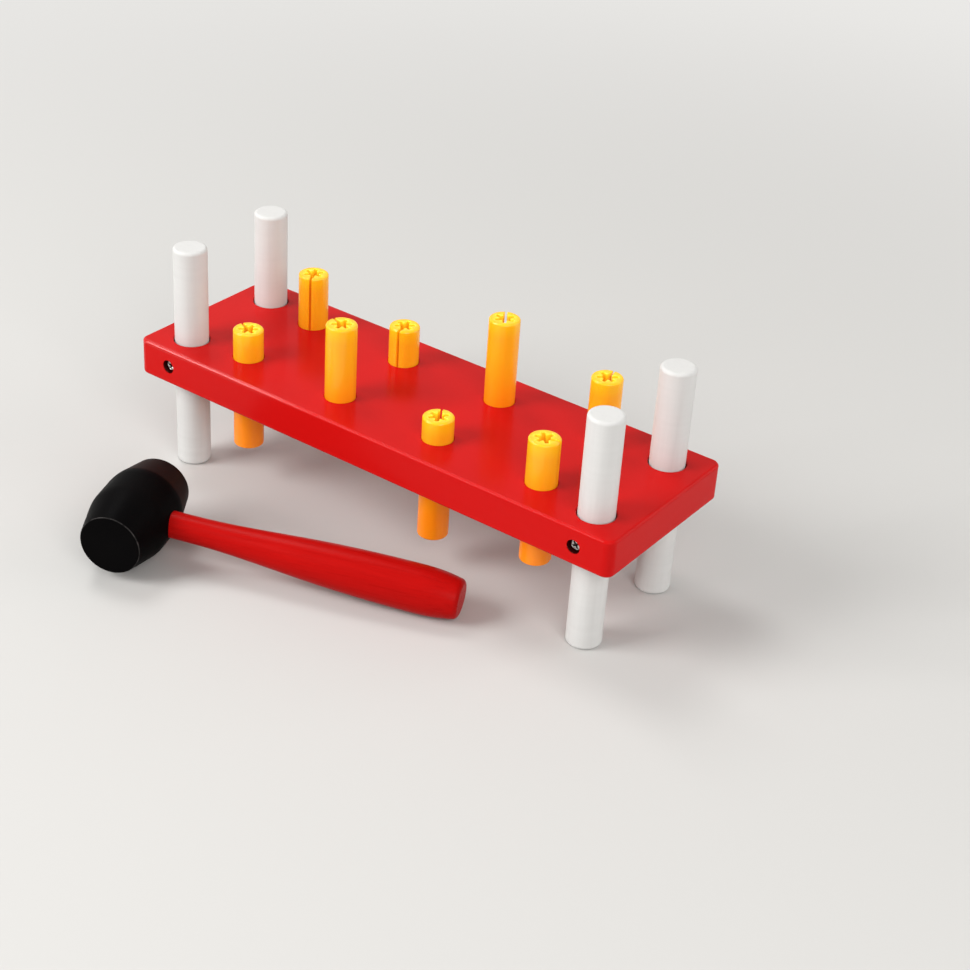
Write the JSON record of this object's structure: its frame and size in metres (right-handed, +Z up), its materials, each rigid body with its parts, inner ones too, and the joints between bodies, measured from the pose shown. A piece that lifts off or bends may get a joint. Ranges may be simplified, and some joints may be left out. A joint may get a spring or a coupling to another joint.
{
  "type": "pounding bench",
  "caption": "Toddler's wooden pounding bench: a lacquered board on dowel legs, split plastic pegs that slide through it, and a barrel-headed mallet.",
  "frame": {"origin": "on the floor, under the middle of the space that bench and mallet take up together", "axes": "+X along the bench to its right, +Y from the mallet to the bench's back, +Z up"},
  "size_m": [0.3, 0.2004, 0.1264],
  "materials": {
    "red_lacquer": "gloss red lacquer",
    "white_lacquer": "satin white lacquer",
    "screw_steel": "zinc plated",
    "yellow_plastic": "satin moulded",
    "black_lacquer": "satin black lacquer",
    "handle_lacquer": "satin red lacquer"
  },
  "bodies": {
    "bench": {"bench_board": "red_lacquer", "leg_front_left": "white_lacquer", "leg_front_right": "white_lacquer", "leg_back_left": "white_lacquer", "leg_back_right": "white_lacquer", "leg_screws": "screw_steel"},
    "peg_front_1": {"peg_front_1": "yellow_plastic"},
    "peg_front_2": {"peg_front_2": "yellow_plastic"},
    "peg_front_3": {"peg_front_3": "yellow_plastic"},
    "peg_front_4": {"peg_front_4": "yellow_plastic"},
    "peg_back_1": {"peg_back_1": "yellow_plastic"},
    "peg_back_2": {"peg_back_2": "yellow_plastic"},
    "peg_back_3": {"peg_back_3": "yellow_plastic"},
    "peg_back_4": {"peg_back_4": "yellow_plastic"},
    "mallet": {"mallet_head": "black_lacquer", "mallet_handle": "handle_lacquer"}
  },
  "joints": [
    {"name": "peg_front_1_slide", "type": "slide", "parent": "bench", "child": "peg_front_1", "axis": [0, 0, 1], "range_m": [-0.01608, 0.03192]},
    {"name": "peg_front_2_slide", "type": "slide", "parent": "bench", "child": "peg_front_2", "axis": [0, 0, 1], "range_m": [-0.0407, 0.0073]},
    {"name": "peg_front_3_slide", "type": "slide", "parent": "bench", "child": "peg_front_3", "axis": [0, 0, 1], "range_m": [-0.012, 0.036]},
    {"name": "peg_front_4_slide", "type": "slide", "parent": "bench", "child": "peg_front_4", "axis": [0, 0, 1], "range_m": [-0.02438, 0.02362]},
    {"name": "peg_back_1_slide", "type": "slide", "parent": "bench", "child": "peg_back_1", "axis": [0, 0, 1], "range_m": [-0.03, 0.018]},
    {"name": "peg_back_2_slide", "type": "slide", "parent": "bench", "child": "peg_back_2", "axis": [0, 0, 1], "range_m": [-0.02064, 0.02736]},
    {"name": "peg_back_3_slide", "type": "slide", "parent": "bench", "child": "peg_back_3", "axis": [0, 0, 1], "range_m": [-0.04656, 0.00144]},
    {"name": "peg_back_4_slide", "type": "slide", "parent": "bench", "child": "peg_back_4", "axis": [0, 0, 1], "range_m": [-0.03629, 0.01171]},
    {"name": "mallet_pick_up", "type": "slide", "parent": "bench", "child": "mallet", "axis": [0, -0.6, 0.8], "range_m": [0, 0.15]}
  ]
}
